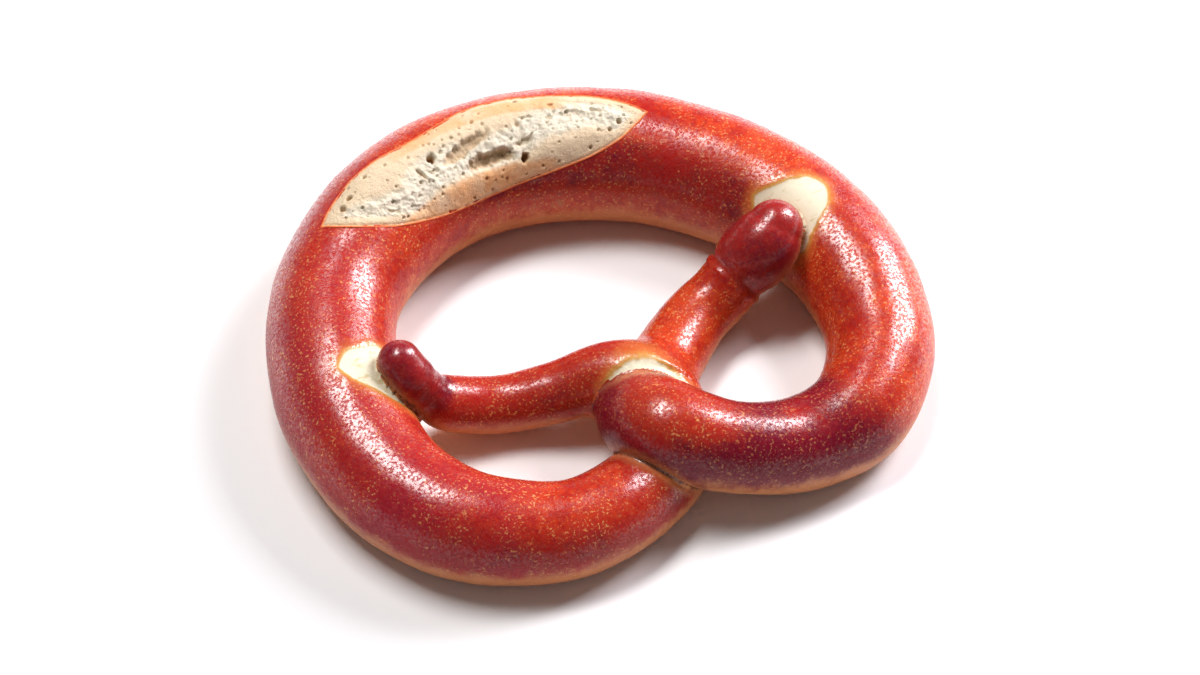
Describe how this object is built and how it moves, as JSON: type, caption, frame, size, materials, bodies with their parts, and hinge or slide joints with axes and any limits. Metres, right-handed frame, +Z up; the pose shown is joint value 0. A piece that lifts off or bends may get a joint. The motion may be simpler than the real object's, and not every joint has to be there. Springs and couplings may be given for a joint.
{
  "type": "soft pretzel",
  "caption": "Soft lye-crust pretzel: a rope of dough looped, twisted and baked as one piece, thick at the belly, which has burst open along a pale split.",
  "frame": {"origin": "On the resting plane, under the middle of the outline.", "axes": "+Z up out of the resting plane; +Y towards the thick belly with the split; -Y towards the twist; +X towards the arm that ends in the larger knob."},
  "size_m": [0.1628, 0.1413, 0.0314],
  "materials": {
    "crust": "satin",
    "crumb": "matte"
  },
  "bodies": {
    "root": {"soft_pretzel": "crust"}
  },
  "joints": []
}
